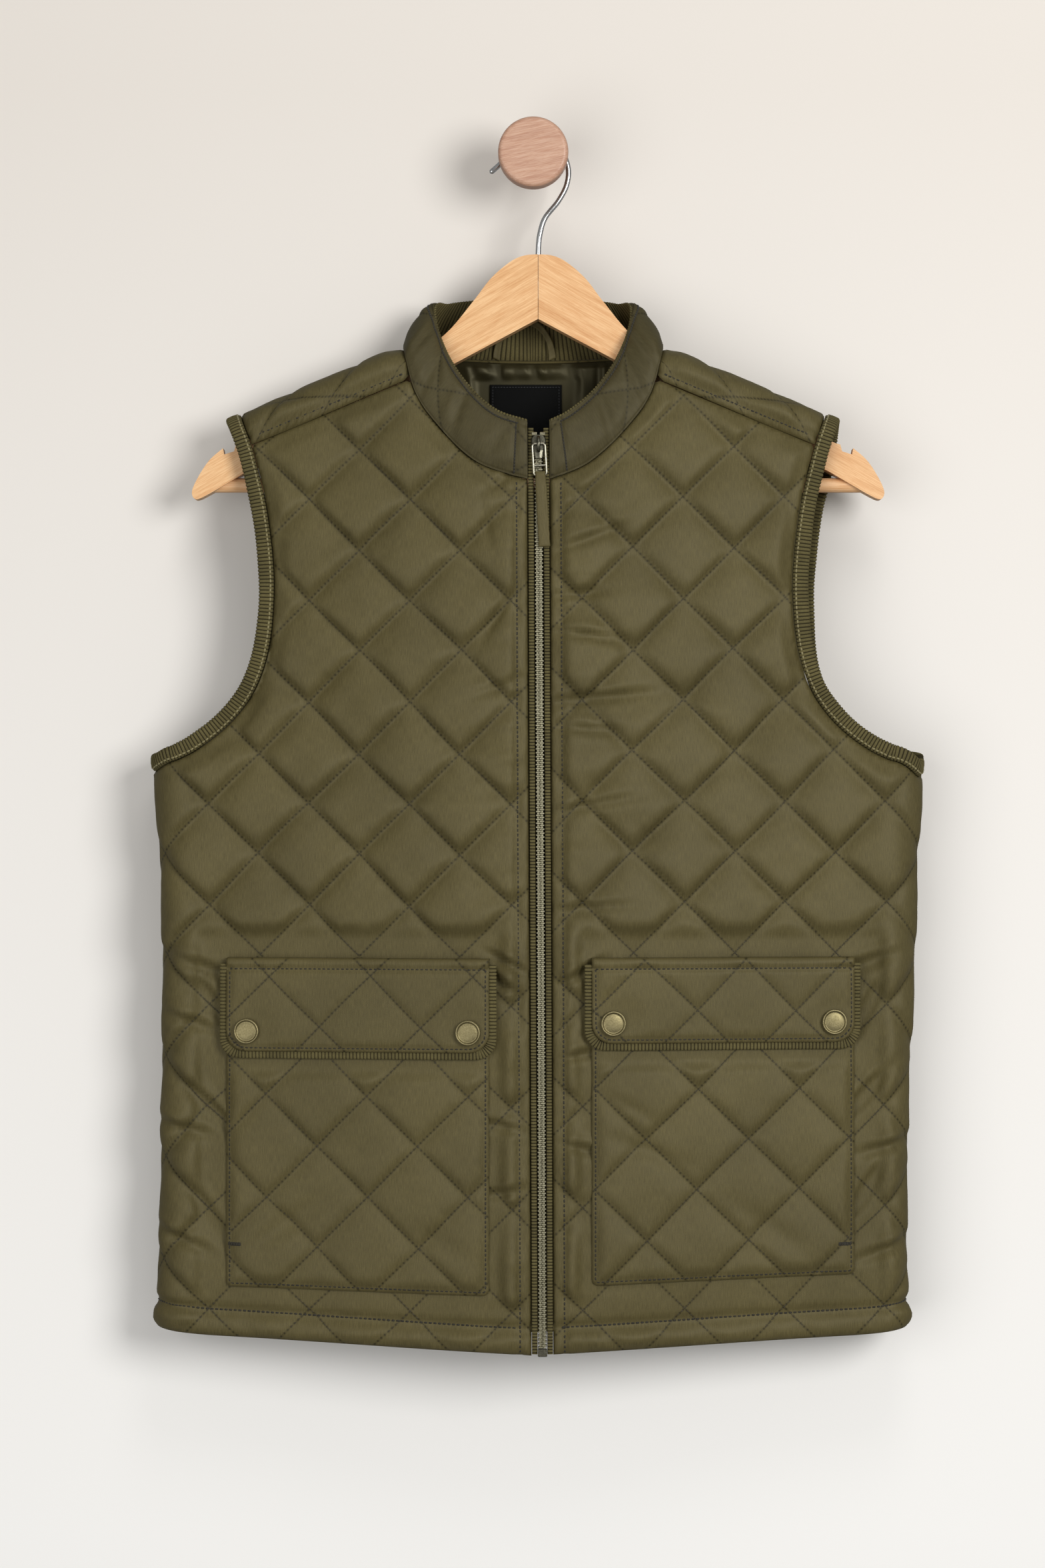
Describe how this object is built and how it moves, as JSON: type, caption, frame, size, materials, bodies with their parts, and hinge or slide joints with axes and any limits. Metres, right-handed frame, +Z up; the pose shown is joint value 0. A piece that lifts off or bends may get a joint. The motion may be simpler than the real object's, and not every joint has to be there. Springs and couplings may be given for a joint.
{
  "type": "quilted vest on a wooden hanger and wall knob",
  "caption": "Sleeveless zip-front quilted vest with stand collar, ribbed edge binding and flap patch pockets, on a wooden hanger that hangs from a round wall knob.",
  "frame": {"origin": "centre of the wall knob's back face, where it is fixed to the wall", "axes": "+X to the viewer's right as the vest faces them, +Y into the wall, +Z up"},
  "size_m": [0.5026, 0.0885, 0.7952],
  "materials": {
    "shell": "olive green cotton-blend twill with a soft sheen, quilted",
    "corduroy": "fine-ribbed olive corduroy, darker than the shell",
    "lining": "glossy olive satin lining",
    "label": "black woven label, bare",
    "snap_metal": "antique brass, brushed",
    "zip_metal": "dark antique zip metal",
    "hanger_wood": "pale beech, satin lacquer",
    "knob_wood": "light reddish wood, open grain, matt",
    "hook_steel": "polished chrome wire"
  },
  "bodies": {
    "root": {"front_left": "shell", "front_right": "shell", "back": "shell", "armhole_binding_left": "corduroy", "armhole_binding_right": "corduroy", "collar": "shell", "collar_facing": "corduroy", "pocket_left": "shell", "flap_facing_left": "corduroy", "flap_left": "shell", "snap_left_inner": "snap_metal", "snap_left_outer": "snap_metal", "pocket_right": "shell", "flap_facing_right": "corduroy", "flap_right": "shell", "snap_right_inner": "snap_metal", "snap_right_outer": "snap_metal", "zip_tape_left": "corduroy", "zip_tape_right": "corduroy", "zip_chain": "zip_metal", "zip_box": "zip_metal", "zip_slider": "zip_metal", "back_lining": "lining", "neck_label": "label", "hanger_loop": "corduroy", "hanger_arm_left": "hanger_wood", "hanger_arm_right": "hanger_wood", "hanger_bar": "hanger_wood", "hanger_hook": "hook_steel", "wall_knob": "knob_wood"},
    "pull": {"zip_pull_frame": "zip_metal", "zip_pull_tab": "shell"}
  },
  "joints": [
    {"name": "pull_swing", "type": "hinge", "parent": "root", "child": "pull", "pos_m": [0.00336, -0.07625, -0.18917], "axis": [-1, 0, 0], "range_deg": [0, 150]}
  ]
}
